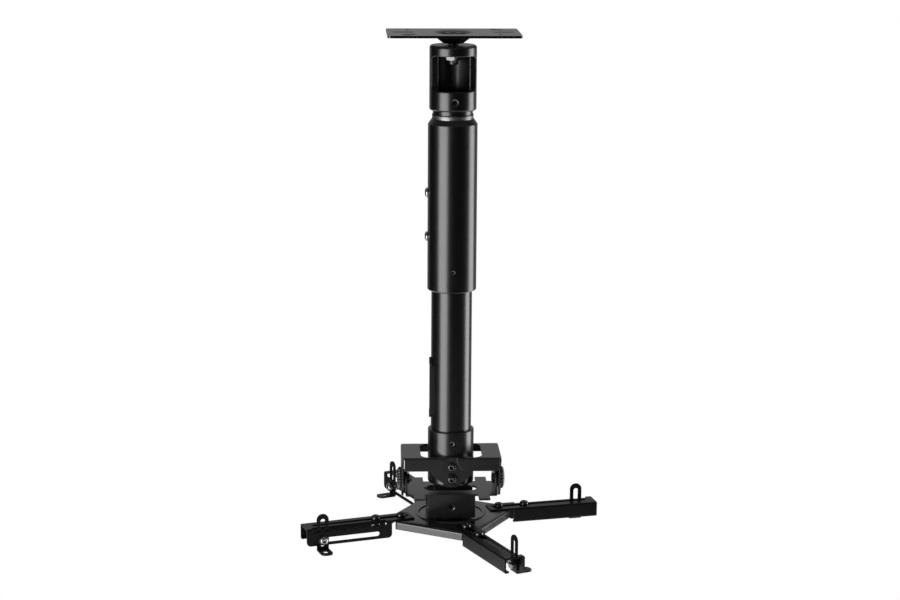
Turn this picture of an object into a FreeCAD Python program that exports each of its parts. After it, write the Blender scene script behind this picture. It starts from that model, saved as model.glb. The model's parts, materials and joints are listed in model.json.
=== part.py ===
import FreeCAD, Part
import math
import os
import re
import Sketcher

# Projector ceiling mount: a ceiling plate, a ball joint, a telescopic pole, a roll and pitch head
# and a spider of four slotted arms with adjustable feet.
# The origin is the centre of the plate's top face, +Z is up and -Y is the front. Millimetres.

SIZES = {
    # ceiling plate and its pressed dish
    "plate_wide": 159.5,
    "plate_deep": 94,
    "plate_thick": 3,
    "plate_corner": 4,
    "plate_slot_reach": 60,
    "plate_slot_long": 26,
    "plate_slot_wide": 7,
    "plate_corner_x": 54,
    "plate_corner_y": 30,
    "oblique_run": 5,
    "oblique_rise": 3.2,
    "plate_hole_d": 5.5,
    "dish_mouth_d": 48,
    "dish_lip": 9,
    "dish_under_d": 51,
    "dish_foot_d": 24.5,
    "dish_depth": 13,
    "dish_seat_drop": 11.9,
    "dish_hole_d": 18,
    # ball joint
    "ball_drop": 1,
    "ball_d": 21,
    "ball_top_drop": 0.5,
    "cup_hole_d": 15.6,
    "stud_d": 12,
    "stud_long": 38,
    "stud_socket_wide": 8,
    "stud_socket_deep": 4,
    "stud_point": 1.4,
    "stud_washer_d": 24,
    "stud_washer_thick": 2.5,
    "stud_nut_wide": 18,
    "stud_nut_tall": 10,
    "stud_nut_angle": -25,
    "joint_gap": 0.3,
    "run_gap": 0.06,
    "face_gap": 0.05,
    # screws of several pieces
    "small_socket": 4,
    "large_socket": 6,
    "screw_past_nut": 1.5,
    "screw_sink": 2.4,
    "thin_screw_sink": 1.4,
    # swivel collar
    "collar_gap": 2,
    "collar_tall": 78,
    "collar_wall": 4.2,
    "collar_roof": 6,
    "collar_round": 3,
    "collar_edge": 1.5,
    "collar_angle": 2,
    "window_wide": 52.8,
    "window_tall": 42.4,
    "window_drop": 12,
    "window_face": 10,
    "window_round": 5,
    "collar_screw_d": 8,
    "collar_screw_drop": 66.8,
    # neck, cap and outer tube
    "neck_wall": 3,
    "neck_show": 11,
    "neck_inside": 21,
    "neck_ring_tall": 6,
    "neck_ring_thick": 0.8,
    "cap_tall": 6,
    "cap_slope": 4,
    "cap_wall": 3.14,
    "cap_skirt": 16,
    "tube_d": 60,
    "tube_wall": 2.5,
    "tube_long": 204,
    "tube_edge": 1.2,
    "bolt_d": 6,
    "dome_d": 12,
    "dome_tall": 3.4,
    "upper_bolt_drop": 84,
    "bolt_pitch": 54,
    "tube_screw_d": 5,
    "tube_screw_rise": 26,
    # inner tube, guides and cable outlet
    "tube_gap": 2.5,
    "inner_wall": 3,
    "inner_inset": 73,
    "inner_show": 176,
    "inner_into_collar": 34,
    "bush_tall": 18,
    "ring_tall": 15,
    "ring_split": 16,
    "outlet_wide": 14,
    "outlet_tall": 64,
    "outlet_rise": 52,
    "grommet_rim": 6,
    "grommet_thick": 2.4,
    "grommet_lip": 1,
    # tilt collar
    "tilt_wall": 3.44,
    "tilt_tall": 70,
    "tilt_round": 4,
    "tilt_edge": 1,
    "tilt_shelf": 5,
    "tilt_flat_deep": 2,
    "tilt_flat_tall": 33,
    "tilt_screw_d": 6,
    "tilt_screw_drop": 14,
    # roll bracket
    "sheet": 2.5,
    "saddle_wide": 123,
    "saddle_rise": 28,
    "saddle_corner": 3,
    "bend": 2,
    "saddle_hole_wide": 76,
    "saddle_hole_round": 13,
    "roll_above_foot": 12,
    "flange_tall": 17,
    "back_flange_tall": 10.5,
    "flange_inset": 3.1,
    "tongue_wide": 53,
    "tongue_drop": 6.5,
    "tongue_set_back": 2.2,
    "relief_top_wide": 13,
    "relief_foot_wide": 27,
    "relief_neck": 7,
    "lock_above_pivot": 15.8,
    "lock_swing": 2.25,
    "roll_head_d": 11.2,
    "roll_head_tall": 3.4,
    "roll_washer_d": 15,
    "roll_washer_thick": 1.4,
    "roll_screw_long": 12,
    "roll_spacer_d": 20,
    "roll_spacer_thick": 2.3,
    "ear_wide": 46,
    "ear_shoulder": 6,
    "ear_slope": 8,
    "ear_below_axis": 22,
    # pitch bracket
    "pitch_below_saddle": 35,
    "pitch_side_gap": 2,
    "upright_wide": 44,
    "upright_above_axis": 13,
    "upright_round": 12,
    "base_below_axis": 13.5,
    "base_deep": 56,
    "base_tab_in": 33,
    "base_tab_out": 47,
    "base_tab_reach": 46,
    "base_hole_wide": 66,
    "base_hole_deep": 24,
    "box_wide": 59,
    "box_tall": 30,
    "box_hole_d": 8,
    "box_hole_drop": 17.3,
    "pitch_bolt_d": 8,
    "knob_d": 28,
    "knob_tall": 5.6,
    "knob_teeth": 20,
    "knob_notch": 1.4,
    "pitch_spacer_d": 22,
    "pitch_nut_wide": 13,
    "pitch_nut_tall": 3,
    "pitch_past_nut": 0.4,
    # yaw carrier and bearing
    "carrier_wide": 38,
    "carrier_tall": 25.5,
    "carrier_screw_long": 7,
    "bearing_d": 46,
    "bearing_thick": 2,
    "yaw_bolt_d": 8,
    "yaw_head_d": 15,
    "yaw_head_tall": 5.5,
    "yaw_nut_wide": 13,
    "yaw_nut_tall": 6.5,
    # hub plate
    "hub_sheet": 2,
    "hub_root": 75,
    "hub_reach": 108,
    "hub_root_wide": 23,
    "hub_tongue_wide": 16,
    "hub_rim_tall": 11,
    "bead_d": 83,
    "bead_wide": 6,
    "bead_tall": 1.4,
    "bead_crown": 2.4,
    "bead_root": 0.2,
    "hub_bend": 3.4,
    "hub_rim_inset": 2.6,
    "hub_screw_near": 64.5,
    "hub_screw_far": 98,
    # arms
    "arm_sheet": 2,
    "right_angle": 12,
    "right_shift": 5,
    "back_angle": 113.5,
    "left_angle": 198,
    "left_shift": 3,
    "front_angle": 293.5,
    "cross_shift": 10,
    "arm_start": 50,
    "arm_end": 191,
    "arm_wide": 27,
    "arm_wall_start": 81,
    "plain_wall_tall": 18.5,
    "slot_wall_tall": 22,
    "arm_lip": 6,
    "arm_bend": 1.8,
    "arm_tip_round": 4,
    "arm_wall_round": 5,
    "web_slot_start": 55,
    "web_slot_end": 181,
    "web_slot_wide": 7.4,
    "corner_slot_start": 88,
    "corner_slot_end": 184,
    "corner_slot_in": 6,
    "corner_slot_down": 5,
    "wall_slot_start": 97,
    "wall_slot_end": 174,
    "wall_slot_wide": 6.2,
    "wall_slot_drop": 15.5,
    "arm_screw_d": 6,
    "arm_head_d": 11.5,
    "arm_head_tall": 4.6,
    "arm_nut_wide": 10,
    "arm_nut_tall": 5,
    # feet
    "foot_place": 170,
    "right_lift": 2,
    "back_lift": 2,
    "front_lift": 3,
    "foot_wide": 15,
    "foot_sheet": 2,
    "foot_gap": 0.1,
    "foot_above_web": 17,
    "foot_below_web": 29.5,
    "foot_reach": 21,
    "foot_corner": 6,
    "foot_bend": 1.8,
    "foot_slot_top": 8,
    "foot_slot_foot": 21.5,
    "foot_slot_wide": 6.2,
    "foot_hole_wide": 6.5,
    "foot_hole_long": 9.5,
    "foot_bolt_d": 5.9,
    "foot_head_d": 10.5,
    "foot_head_tall": 4,
    "foot_washer_d": 13,
    "foot_washer_thick": 1.2,
    "foot_nut_wide": 10,
    "foot_nut_tall": 5,
}

# Heights down the pole, each counted from the one above it.
COLLAR_TOP = "(-dish_depth - collar_gap)"
COLLAR_FOOT = f"({COLLAR_TOP} - collar_tall)"
CAP_TOP = f"({COLLAR_FOOT} - neck_show)"
TUBE_TOP = f"({CAP_TOP} - cap_tall)"
TUBE_FOOT = f"({TUBE_TOP} - tube_long)"
INNER_TOP = f"({TUBE_TOP} - inner_inset)"
TILT_TOP = f"({TUBE_FOOT} - inner_show)"
TILT_FOOT = f"({TILT_TOP} - tilt_tall)"
ROLL_AXIS = f"({TILT_FOOT} + roll_above_foot)"
SADDLE_TOP = f"({ROLL_AXIS} + saddle_rise)"
PITCH_AXIS = f"({SADDLE_TOP} - pitch_below_saddle)"
BASE_TOP = f"({PITCH_AXIS} - base_below_axis)"
CARRIER_FOOT = f"({BASE_TOP} - sheet - face_gap - carrier_tall - sheet)"
HUB_TOP = f"({CARRIER_FOOT} - bearing_thick - face_gap)"
WEB_TOP = f"({HUB_TOP} + arm_sheet + face_gap)"

# Radii that several pieces share.
TUBE_BORE = "(tube_d / 2 - tube_wall)"
INNER_R = f"({TUBE_BORE} - tube_gap)"
NECK_R = f"({TUBE_BORE} - 2 * run_gap - cap_wall)"
COLLAR_R = f"({NECK_R} + run_gap + collar_wall)"
TILT_R = f"({INNER_R} + run_gap + tilt_wall)"
UPRIGHT_X = "(saddle_wide / 2 - sheet - pitch_side_gap)"
BOX_Y = "(base_deep / 2)"
FLAT_Y = f"({TILT_R} - tilt_flat_deep)"
TONGUE_Y = f"({FLAT_Y} + 2 * face_gap + roll_spacer_thick + sheet)"
SADDLE_Y = f"({TONGUE_Y} + tongue_set_back)"
SLOT_WALL_Y = "(arm_wide / 2)"

# The ball cup rests in the dish's cone, a small gap off it all round.
SEAT_R = "(dish_hole_d / 2)"
SEAT_RUN = f"(dish_mouth_d / 2 - {SEAT_R})"
SEAT_LONG = f"sqrt(dish_seat_drop ^ 2 + {SEAT_RUN} ^ 2)"
CUP_R = f"(({SEAT_R} * dish_seat_drop + (dish_seat_drop - ball_drop) * {SEAT_RUN}) / {SEAT_LONG} - joint_gap)"
BALL_R = "(ball_d / 2)"
BALL_TOP = "(ball_drop - ball_top_drop)"

# Shares of a screw head's radius and height where its rounded profile turns.
CROWN_R = 0.55
SHOULDER_R = 0.88
SHOULDER_TALL = 0.66
RIM_TALL = 0.2
SOCKET_DEEP = 0.5
DOME_CROWN_R = 0.3
DOME_SHOULDER_R = 0.72
DOME_SHOULDER_TALL = 0.75
# Share of a nut's width that its bevel leaves flat.
NUT_FACE = 0.96
# How far a cut runs past a face, in mm.
PAST = "1"

# Each arm has its own angle, its shift to the left of the line from the axis, and its foot's lift.
ARMS = {
    "right": ("right_angle", "right_shift", "right_lift"),
    "back": ("back_angle", "(-cross_shift)", "back_lift"),
    "left": ("left_angle", "(-left_shift)", "0"),
    "front": ("front_angle", "(-cross_shift)", "front_lift"),
}

V = FreeCAD.Vector
doc = FreeCAD.newDocument("projector_ceiling_mount")
sheet = doc.addObject("Spreadsheet::Sheet", "Sizes")
for row, (size_name, size_value) in enumerate(SIZES.items(), start=1):
    sheet.set(f"A{row}", size_name)
    sheet.set(f"B{row}", str(size_value))
    sheet.setAlias(f"B{row}", size_name)
doc.recompute()

WORD = re.compile(r"[A-Za-z_][A-Za-z_0-9]*")
PARTS = {}


def expr(text):
    """Point each size name in an expression at the spreadsheet."""
    return WORD.sub(lambda found: f"Sizes.{found[0]}" if found[0] in SIZES else found[0], str(text))


def num(text):
    """Value of an expression at the present sizes."""
    return float(sheet.evalExpression(expr(text)))


def bind(thing, prop, text):
    thing.setExpression(prop, expr(text))


def turned(along, across, angle):
    """Expressions of a point given along and across a direction at an angle in degrees."""
    c = f"cos({angle} * 1 deg)"
    s = f"sin({angle} * 1 deg)"
    return (f"(({along}) * {c} - ({across}) * {s})", f"(({along}) * {s} + ({across}) * {c})")


def place(thing, x="0", y="0", z="0", turn="0"):
    """Bind an object's position and its turn about the vertical."""
    thing.Placement = FreeCAD.Placement(V(0, 0, 0), FreeCAD.Rotation(V(0, 0, 1), 1))
    bind(thing, ".Placement.Base.x", x)
    bind(thing, ".Placement.Base.y", y)
    bind(thing, ".Placement.Base.z", z)
    bind(thing, ".Placement.Rotation.Angle", f"({turn}) * 1 deg")


def edges_at(shape, x=None, y=None, z=None, within=None):
    """Names of the edges that keep to the given coordinates, and to a distance from the axis."""
    names = []
    for index, edge in enumerate(shape.Edges, start=1):
        box = edge.BoundBox
        spans = ((box.XMin, box.XMax, x), (box.YMin, box.YMax, y), (box.ZMin, box.ZMax, z))
        asked = [(low, high, wanted) for low, high, wanted in spans if wanted is not None]
        matches = [any(max(abs(low - w), abs(high - w)) < 0.02 for w in wanted) for low, high, wanted in asked]
        if all(matches) and (within is None or math.hypot(box.Center.x, box.Center.y) < within):
            names.append(f"Edge{index}")
    return names


class Outline:
    """A sketch whose points are tied to the sizes."""

    def __init__(self, body, plane, offset="0"):
        self.sketch = body.newObject("Sketcher::SketchObject", f"{body.Name}_sketch")
        support = [item for item in body.Origin.OriginFeatures if item.Role == plane][0]
        self.sketch.AttachmentSupport = (support, [""])
        self.sketch.MapMode = "FlatFace"
        bind(self.sketch, "AttachmentOffset.Base.z", offset)

    def dimension(self, kind, *args):
        *where, text = args
        index = self.sketch.addConstraint(Sketcher.Constraint(kind, *where, num(text)))
        bind(self.sketch, f"Constraints[{index}]", text)

    def pin(self, item, end, x, y):
        self.dimension("DistanceX", -1, 1, item, end, x)
        self.dimension("DistanceY", -1, 1, item, end, y)

    def polygon(self, points):
        """Closed outline. A point is (x, y), or (x, y, radius, side) where an arc leads to the next
        point: side is 1 where it bulges to the right of the way there, and -1 to the left."""
        first = self.sketch.GeometryCount
        spots = [V(num(point[0]), num(point[1]), 0) for point in points]
        count = len(points)
        for i, point in enumerate(points):
            start, end = spots[i], spots[(i + 1) % count]
            if len(point) == 2:
                self.sketch.addGeometry(Part.LineSegment(start, end))
                continue
            radius, side = num(point[2]), point[3]
            half = (end - start) * 0.5
            reach = math.sqrt(max(radius ** 2 - half.Length ** 2, 0))
            normal = V(half.y, -half.x, 0).normalize() * side
            middle = start + half + normal * (radius - reach)
            self.sketch.addGeometry(Part.Arc(start, middle, end))
        for i, point in enumerate(points):
            after = (i + 1) % count
            end = self.ends(first + i, spots[i])[1]
            start = self.ends(first + after, spots[after])[0]
            self.sketch.addConstraint(Sketcher.Constraint("Coincident", first + i, end, first + after, start))
        for i, point in enumerate(points):
            self.pin(first + i, self.ends(first + i, spots[i])[0], point[0], point[1])
            if len(point) > 2:
                self.dimension("Radius", first + i, point[2])
        return self

    def ends(self, item, start):
        """Which end of a line or arc lies at the given start, and which at the other."""
        near = self.sketch.getPoint(item, 1).distanceToPoint(start)
        far = self.sketch.getPoint(item, 2).distanceToPoint(start)
        return (1, 2) if near < far else (2, 1)

    def rectangle(self, x0, y0, x1, y1):
        return self.polygon([(x0, y0), (x1, y0), (x1, y1), (x0, y1)])

    def rounded(self, x0, y0, x1, y1, radius):
        """Rectangle with rounded corners."""
        r = radius
        return self.polygon([
            (f"{x0} + {r}", y0), (f"{x1} - {r}", y0, r, 1), (x1, f"{y0} + {r}"), (x1, f"{y1} - {r}", r, 1),
            (f"{x1} - {r}", y1), (f"{x0} + {r}", y1, r, 1), (x0, f"{y1} - {r}"), (x0, f"{y0} + {r}", r, 1)])

    def circle(self, x, y, radius):
        item = self.sketch.addGeometry(Part.Circle(V(num(x), num(y), 0), V(0, 0, 1), num(radius)))
        self.pin(item, 3, x, y)
        self.dimension("Radius", item, radius)
        return self

    def slot(self, x0, y0, x1, y1, radius):
        """Round-ended slot between two centres."""
        start, end, size = V(num(x0), num(y0), 0), V(num(x1), num(y1), 0), num(radius)
        lean = math.atan2(end.y - start.y, end.x - start.x)
        side = V(-math.sin(lean), math.cos(lean), 0) * size
        quarter = math.pi / 2
        far_ring = Part.Circle(end, V(0, 0, 1), size)
        near_ring = Part.Circle(start, V(0, 0, 1), size)
        far = self.sketch.addGeometry(Part.ArcOfCircle(far_ring, lean - quarter, lean + quarter))
        back = self.sketch.addGeometry(Part.LineSegment(end + side, start + side))
        near = self.sketch.addGeometry(Part.ArcOfCircle(near_ring, lean + quarter, lean + 3 * quarter))
        ahead = self.sketch.addGeometry(Part.LineSegment(start - side, end - side))
        loop = (far, back, near, ahead)
        for i, item in enumerate(loop):
            self.sketch.addConstraint(Sketcher.Constraint("Tangent", item, 2, loop[(i + 1) % 4], 1))
        self.sketch.addConstraint(Sketcher.Constraint("Equal", near, far))
        self.pin(near, 3, x0, y0)
        self.pin(far, 3, x1, y1)
        self.dimension("Radius", near, radius)
        return self

    def hexagon(self, wide, x="0", y="0"):
        corner = f"({wide}) / sqrt(3)"
        points = [turned(corner, "0", str(60 * i)) for i in range(6)]
        return self.polygon([(f"{x} + {px}", f"{y} + {py}") for px, py in points])


class Piece:
    """One sub-part: a body built from sketches in its own frame."""

    def __init__(self, label, x="0", y="0", z="0", turn="0", kept=True):
        self.body = doc.addObject("PartDesign::Body", label)
        self.body.Label = label
        self.label = label
        place(self.body, x, y, z, turn)
        if kept:
            PARTS[label] = self.body

    def top(self, offset="0"):
        return Outline(self.body, "XY_Plane", offset)

    def front(self, offset="0"):
        """Sketch in X and Z, facing -Y, set forward by the offset."""
        return Outline(self.body, "XZ_Plane", offset)

    def side(self, offset="0"):
        """Sketch in Y and Z, facing +X, set out by the offset."""
        return Outline(self.body, "YZ_Plane", offset)

    def add(self, kind, outline, length=None, flip=False, both=False):
        feature = self.body.newObject(f"PartDesign::{kind}", f"{self.label}_{kind.lower()}")
        feature.Profile = outline.sketch
        if length is None:
            feature.Type = "ThroughAll"
        else:
            bind(feature, "Length", length)
        feature.Reversed = flip
        feature.SideType = "Symmetric" if both else "One side"
        outline.sketch.Visibility = False
        return feature

    def pad(self, outline, length, flip=False, both=False):
        self.add("Pad", outline, length, flip, both)
        return self

    def pocket(self, outline, length=None, flip=False, both=False):
        doc.recompute()
        before = self.body.Shape.Volume
        self.add("Pocket", outline, length, flip, both)
        doc.recompute()
        if self.body.Shape.Volume > before - 1e-6:
            raise RuntimeError(f"a pocket of {self.label} removes nothing")
        return self

    def turn(self, outline, kind="Revolution", axis="Z_Axis"):
        feature = self.body.newObject(f"PartDesign::{kind}", f"{self.label}_{kind.lower()}")
        feature.Profile = outline.sketch
        spindle = [item for item in self.body.Origin.OriginFeatures if item.Role == axis][0]
        feature.ReferenceAxis = (spindle, [""])
        feature.Angle = 360
        return self

    def round(self, radius, x=None, y=None, z=None, within=None):
        """Fillet the edges that keep to the given coordinates, each a list of expressions."""
        doc.recompute()
        spots = [None if c is None else [num(text) for text in c] for c in (x, y, z)]
        base = self.body.Tip
        names = edges_at(base.Shape, *spots, within=None if within is None else num(within))
        if not names:
            raise RuntimeError(f"no edge of {self.label} to round")
        feature = self.body.newObject("PartDesign::Fillet", f"{self.label}_fillet")
        feature.Base = (base, names)
        bind(feature, "Radius", radius)
        return self


def group(label, master, spots, z="0"):
    """One sub-part made of like pieces: copies of a master, each at (x, y, height, turn)."""
    links = []
    for i, (x, y, height, turn) in enumerate(spots):
        link = doc.addObject("App::Link", f"{label}_{i}")
        link.LinkedObject = master.body
        place(link, x, y, height, turn)
        links.append(link)
    whole = doc.addObject("Part::Compound", label)
    whole.Label = label
    whole.Links = links
    bind(whole, ".Placement.Base.z", z)
    PARTS[label] = whole


def ring(label, outer, inner, tall, z, turn="0", kept=True):
    """Turned ring or tube whose top is at z."""
    piece = Piece(label, z=z, turn=turn, kept=kept)
    return piece.turn(piece.front().rectangle(inner, f"-({tall})", outer, "0"))


def nut(label, wide, tall, bore, z, turn="0", kept=True, chamfered=False):
    """Hexagon nut whose top is at z."""
    piece = Piece(label, z=z, turn=turn, kept=kept)
    piece.pad(piece.top().hexagon(wide).circle("0", "0", f"{bore} + run_gap"), tall, flip=True)
    if not chamfered:
        return piece
    doc.recompute()
    corner = f"(({wide}) / sqrt(3) + {PAST})"
    flat = f"(({wide}) / 2 * {NUT_FACE})"
    bevel = f"(({corner} - {flat}) * tan(30 deg))"
    low = f"-({tall})"
    piece.turn(piece.front().polygon([(flat, "0"), (corner, "0"), (corner, f"-{bevel}")]), "Groove")
    piece.turn(piece.front().polygon([(flat, low), (corner, low), (corner, f"{low} + {bevel}")]), "Groove")
    return piece


def screw_profile(head_d, head_tall, shank_d, shank_long):
    """Half section of a button-head screw as (across, up) points, seated at zero with its head up."""
    shank, head, tip = f"({shank_d}) / 2", f"({head_d}) / 2", f"-({shank_long})"
    return [("0", head_tall), (f"{head} * {CROWN_R}", head_tall),
            (f"{head} * {SHOULDER_R}", f"({head_tall}) * {SHOULDER_TALL}"),
            (head, f"({head_tall}) * {RIM_TALL}"), (head, "0"), (shank, "0"), (shank, tip), ("0", tip)]


def forward_screw(label, head_d, head_tall, shank_d, shank_long, socket, kept=False, **where):
    """Button-head screw that points to +Y, seated at Y = 0, with its head in front."""
    piece = Piece(label, kept=kept, **where)
    profile = [(across, f"-({up})") for across, up in screw_profile(head_d, head_tall, shank_d, shank_long)]
    piece.turn(piece.top().polygon(profile), axis="Y_Axis")
    piece.pocket(piece.front(head_tall).hexagon(socket), f"({head_tall}) * {SOCKET_DEEP}")
    return piece


def forward_disc(label, outer, inner, thick, kept=False, **where):
    """Washer that faces -Y, from Y = 0 forward."""
    piece = Piece(label, kept=kept, **where)
    piece.pad(piece.front().circle("0", "0", f"({outer}) / 2").circle("0", "0", inner), thick)
    return piece


def down_screw(label, head_d, head_tall, shank_d, shank_long, socket, kept=False, **where):
    """Button-head screw that points down, seated at Z = 0."""
    piece = Piece(label, kept=kept, **where)
    piece.turn(piece.front().polygon(screw_profile(head_d, head_tall, shank_d, shank_long)))
    piece.pocket(piece.top(head_tall).hexagon(socket), f"({head_tall}) * {SOCKET_DEEP}")
    return piece


def set_screw(label, size, inner, outer, z, turn="0"):
    """Socket set screw in a front hole, between two distances from the axis."""
    piece = Piece(label, z=z, turn=turn)
    radius = f"({size}) / 2 - run_gap"
    piece.pad(piece.front(inner).circle("0", "0", radius), f"({outer}) - ({inner})")
    piece.pocket(piece.front(outer).hexagon(f"({size}) / 2"), f"({size}) * {SOCKET_DEEP}")
    return piece


def ceiling_plate():
    piece = Piece("ceiling_plate")
    half_wide, half_deep = "plate_wide / 2", "plate_deep / 2"
    piece.pad(piece.top().rectangle(f"-{half_wide}", f"-{half_deep}", half_wide, half_deep),
              "plate_thick", flip=True)
    piece.round("plate_corner", x=[half_wide, f"-{half_wide}"], y=[half_deep, f"-{half_deep}"])
    foot = "-dish_depth"
    under, middle = "dish_under_d / 2", "-plate_thick / 2"
    piece.turn(piece.front().polygon([("0", middle), (under, middle), (under, "-plate_thick"),
                                      ("dish_foot_d / 2", foot), ("0", foot)]))
    doc.recompute()
    mouth = "dish_mouth_d / 2"
    lip = f"dish_lip * tan(atan(dish_seat_drop / {SEAT_RUN}) / 2)"
    share = f"({lip}) / {SEAT_LONG}"
    piece.turn(piece.front().polygon([("0", "0"), (f"{mouth} + {lip}", "0", "dish_lip", 1),
                                      (f"{mouth} - {share} * {SEAT_RUN}", f"-{share} * dish_seat_drop"),
                                      (SEAT_R, "-dish_seat_drop"), (SEAT_R, foot), ("0", foot)]), "Groove")
    slots = piece.top()
    half_slot = "(plate_slot_long - plate_slot_wide) / 2"
    for side in (1, -1):
        reach = f"{side} * plate_slot_reach"
        slots.slot(f"{reach} - {half_slot}", "0", f"{reach} + {half_slot}", "0", "plate_slot_wide / 2")
        x, y = f"{side} * plate_corner_x", f"{side} * plate_corner_y"
        slots.slot(f"{x} - oblique_run", f"{y} + {side} * oblique_rise", f"{x} + oblique_run",
                   f"{y} - {side} * oblique_rise", "plate_slot_wide / 2")
        slots.circle(f"-{x}", y, "plate_hole_d / 2")
    piece.pocket(slots)


def dome_point(radius, across):
    """Height below the ball's centre of a sphere at a distance from the axis."""
    return f"-sqrt(({radius}) ^ 2 - ({across}) ^ 2)"


def rim_radius(radius):
    return f"sqrt(({radius}) ^ 2 - {BALL_TOP} ^ 2)"


def ball_joint():
    cup = Piece("ball_cup", z="-ball_drop")
    hole, inside = "cup_hole_d / 2", f"({BALL_R} + joint_gap)"
    cup.turn(cup.front().polygon([(rim_radius(CUP_R), BALL_TOP, CUP_R, -1), (hole, dome_point(CUP_R, hole)),
                                  (hole, dome_point(inside, hole), inside, 1), (rim_radius(inside), BALL_TOP)]))
    stud = Piece("ball_stud", z="-ball_drop")
    shank = "stud_d / 2"
    tip = "(-stud_long)"
    stud.turn(stud.front().polygon([("0", BALL_TOP), (rim_radius(BALL_R), BALL_TOP, BALL_R, -1),
                                    (shank, dome_point(BALL_R, shank)), (shank, f"{tip} + stud_point"),
                                    (f"{shank} - stud_point", tip), ("0", tip)]))
    stud.pocket(stud.top(BALL_TOP).hexagon("stud_socket_wide"), "stud_socket_deep")
    ceiling = f"({COLLAR_TOP} - collar_roof - face_gap)"
    ring("stud_washer", "stud_washer_d / 2", "stud_d / 2 + run_gap", "stud_washer_thick", ceiling)
    nut("stud_nut", "stud_nut_wide", "stud_nut_tall", "stud_d / 2", f"({ceiling} - stud_washer_thick)",
        "stud_nut_angle", chamfered=True)


def swivel_collar():
    piece = Piece("swivel_collar", z=COLLAR_TOP, turn="collar_angle")
    outer, socket, bore = COLLAR_R, f"({NECK_R} + run_gap)", f"({NECK_R} - neck_wall)"
    hole = "(stud_d / 2 + run_gap)"
    foot = "(-collar_tall)"
    step = f"({foot} + neck_inside + face_gap)"
    piece.turn(piece.front().polygon([
        (hole, "0"), (f"{outer} - collar_round", "0", "collar_round", -1), (outer, "-collar_round"),
        (outer, f"{foot} + collar_edge"), (f"{outer} - collar_edge", foot), (socket, foot), (socket, step),
        (bore, step), (bore, "-collar_roof"), (hole, "-collar_roof")]))
    half, lintel, sill = "window_wide / 2", "-window_drop", "(-window_drop - window_tall)"
    window = piece.front("window_face").rounded(f"-{half}", sill, half, lintel, "window_round")
    piece.pocket(window, outer, flip=True)
    screw_hole = piece.front().circle("0", "-collar_screw_drop", "collar_screw_d / 2")
    piece.pocket(screw_hole, f"2 * {outer}", flip=True)
    set_screw("collar_set_screw", "collar_screw_d", f"{bore} + face_gap", f"{outer} - screw_sink",
              f"({COLLAR_TOP} - collar_screw_drop)", "collar_angle")


def neck_and_cap():
    neck_top = f"({COLLAR_FOOT} + neck_inside)"
    cap_foot = f"({TUBE_TOP} - cap_skirt)"
    neck_long = f"({neck_top} - {cap_foot})"
    neck = ring("neck_tube", NECK_R, f"{NECK_R} - neck_wall", neck_long, neck_top, "collar_angle")
    drop = f"({neck_top} - ({COLLAR_TOP}) + collar_screw_drop)"
    neck.pocket(neck.front().circle("0", f"-{drop}", "collar_screw_d / 2"), f"2 * {NECK_R}", flip=True)
    ring("neck_ring", f"{NECK_R} + neck_ring_thick", f"{NECK_R} + run_gap", "neck_ring_tall",
         f"({CAP_TOP} + neck_ring_tall)")
    cap = Piece("tube_cap", z=CAP_TOP)
    bore, skirt = f"({NECK_R} + run_gap)", f"({TUBE_BORE} - run_gap)"
    foot = "(-cap_tall - cap_skirt)"
    cap.turn(cap.front().polygon([(bore, "0"), ("tube_d / 2 - cap_slope", "0"), ("tube_d / 2", "-cap_tall"),
                                  (skirt, "-cap_tall"), (skirt, foot), (bore, foot)]))


def outer_tube():
    piece = Piece("outer_tube", z=TUBE_TOP)
    outer, inner, foot = "tube_d / 2", TUBE_BORE, "(-tube_long)"
    piece.turn(piece.front().polygon([
        (inner, "0"), (outer, "0"), (outer, f"{foot} + tube_edge"),
        (f"{outer} - tube_edge", foot), (inner, foot)]))
    holes = piece.side()
    for step in (0, 1):
        holes.circle("0", f"-upper_bolt_drop - {step} * bolt_pitch", "bolt_d / 2 + run_gap")
    piece.pocket(holes, "tube_d")
    screw_hole = piece.front().circle("0", "-tube_long + tube_screw_rise", "tube_screw_d / 2")
    piece.pocket(screw_hole, "tube_d", flip=True)
    tip = f"{INNER_R} + joint_gap"
    set_screw("tube_set_screw", "tube_screw_d", tip, f"{outer} - thin_screw_sink",
              f"({TUBE_FOOT} + tube_screw_rise)")
    bolt = sideways_bolt("height_bolt", tip, outer, "bolt_d", "dome_d", "dome_tall")
    spots = [("0", "0", f"-upper_bolt_drop - {step} * bolt_pitch", "180") for step in (0, 1)]
    group("height_bolts", bolt, spots, TUBE_TOP)
    ring("guide_bush", f"{inner} - run_gap", f"{INNER_R} + run_gap", "bush_tall", f"({TUBE_FOOT} + bush_tall)")


def sideways_bolt(label, tip, seat, shank_d, head_d, head_tall):
    """Dome-head bolt along +X, between its tip and its seat's distances from the axis."""
    bolt = Piece(label, kept=False)
    shank, head, crown = f"({shank_d}) / 2", f"({head_d}) / 2", f"({seat}) + ({head_tall})"
    bolt.turn(bolt.top().polygon([
        (tip, "0"), (crown, "0"), (crown, f"{head} * {DOME_CROWN_R}"),
        (f"({seat}) + ({head_tall}) * {DOME_SHOULDER_TALL}", f"{head} * {DOME_SHOULDER_R}"),
        (f"({seat}) + ({head_tall}) * {RIM_TALL}", head), (seat, head), (seat, shank), (tip, shank)]),
        axis="X_Axis")
    return bolt


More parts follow.
